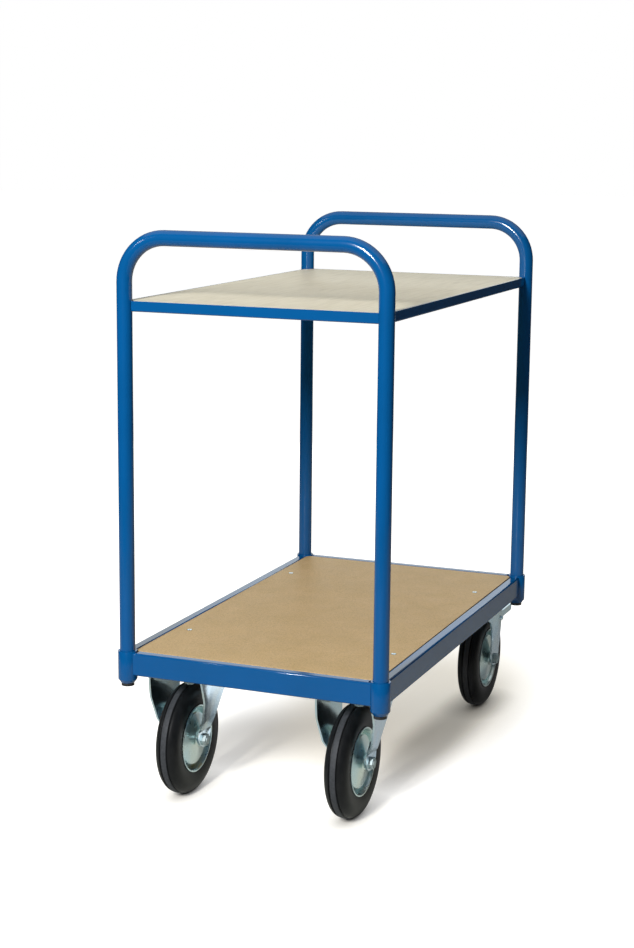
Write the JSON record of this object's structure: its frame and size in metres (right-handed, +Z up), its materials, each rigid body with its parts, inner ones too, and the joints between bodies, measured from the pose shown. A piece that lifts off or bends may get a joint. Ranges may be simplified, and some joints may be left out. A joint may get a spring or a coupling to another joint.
{
  "type": "table top cart",
  "caption": "Push cart with a railed wooden deck, a shelf at table height between two tube push bows, fixed casters at one end and braked swivel casters at the other",
  "frame": {"origin": "On the floor below the centre of the deck", "axes": "+X to the right when facing the swivel casters from the fixed ones, +Y from the fixed-caster end to the swivel-caster end, +Z up"},
  "size_m": [0.5038, 0.926, 1.0035],
  "materials": {
    "blue_paint": "satin powder coat",
    "deck_board": "smooth tan hardboard",
    "shelf_board": "faced board, matt",
    "zinc_steel": "bright zinc plate",
    "rim_zinc": "bright zinc plate",
    "tyre_rubber": "solid black rubber",
    "black_plastic": "matt"
  },
  "bodies": {
    "frame": {"ball_races": "zinc_steel", "corner_sockets": "blue_paint", "deck_board": "deck_board", "fixed_axle_bolts": "zinc_steel", "fixed_axle_nuts": "zinc_steel", "fixed_axle_sleeves": "zinc_steel", "fixed_fork_left": "zinc_steel", "fixed_fork_right": "zinc_steel", "front_bow": "blue_paint", "front_caster_pan": "blue_paint", "front_rail": "blue_paint", "kingpins": "zinc_steel", "left_rail": "blue_paint", "rear_bow": "blue_paint", "rear_caster_pan": "blue_paint", "rear_rail": "blue_paint", "right_rail": "blue_paint", "shelf_board": "shelf_board", "shelf_front_angle": "blue_paint", "shelf_left_angle": "blue_paint", "shelf_rear_angle": "blue_paint", "shelf_right_angle": "blue_paint", "socket_caps": "black_plastic", "swivel_plates": "zinc_steel"},
    "pedal_left": {"brake_pedal_left": "zinc_steel"},
    "pedal_right": {"brake_pedal_right": "zinc_steel"},
    "swivel_left": {"pedal_pins_left": "zinc_steel", "swivel_axle_bolt_left": "zinc_steel", "swivel_axle_nut_left": "zinc_steel", "swivel_axle_sleeve_left": "zinc_steel", "swivel_fork_left": "zinc_steel"},
    "swivel_right": {"pedal_pins_right": "zinc_steel", "swivel_axle_bolt_right": "zinc_steel", "swivel_axle_nut_right": "zinc_steel", "swivel_axle_sleeve_right": "zinc_steel", "swivel_fork_right": "zinc_steel"},
    "wheel_front_left": {"rim_front_left": "rim_zinc", "tyre_front_left": "tyre_rubber"},
    "wheel_front_right": {"rim_front_right": "rim_zinc", "tyre_front_right": "tyre_rubber"},
    "wheel_rear_left": {"rim_rear_left": "rim_zinc", "tyre_rear_left": "tyre_rubber"},
    "wheel_rear_right": {"rim_rear_right": "rim_zinc", "tyre_rear_right": "tyre_rubber"}
  },
  "joints": [
    {"name": "caster_swivel_left", "type": "hinge", "parent": "frame", "child": "swivel_left", "pos_m": [-0.17, 0.33, 0.22], "axis": [0, 0, 1], "continuous": true},
    {"name": "wheel_spin_front_left", "type": "hinge", "parent": "frame", "child": "wheel_front_left", "pos_m": [-0.158, -0.33, 0.1], "axis": [1, 0, 0], "continuous": true},
    {"name": "wheel_spin_rear_left", "type": "hinge", "parent": "swivel_left", "child": "wheel_rear_left", "pos_m": [-0.17, 0.376, 0.1], "axis": [1, 0, 0], "continuous": true},
    {"name": "brake_pedal_press_left", "type": "hinge", "parent": "swivel_left", "child": "pedal_left", "pos_m": [-0.17, 0.4, 0.181], "axis": [-1, 0, 0], "range_deg": [0, 12]},
    {"name": "caster_swivel_right", "type": "hinge", "parent": "frame", "child": "swivel_right", "pos_m": [0.17, 0.33, 0.22], "axis": [0, 0, 1], "continuous": true},
    {"name": "wheel_spin_front_right", "type": "hinge", "parent": "frame", "child": "wheel_front_right", "pos_m": [0.158, -0.33, 0.1], "axis": [1, 0, 0], "continuous": true},
    {"name": "wheel_spin_rear_right", "type": "hinge", "parent": "swivel_right", "child": "wheel_rear_right", "pos_m": [0.17, 0.376, 0.1], "axis": [1, 0, 0], "continuous": true},
    {"name": "brake_pedal_press_right", "type": "hinge", "parent": "swivel_right", "child": "pedal_right", "pos_m": [0.17, 0.4, 0.181], "axis": [-1, 0, 0], "range_deg": [0, 12]}
  ]
}
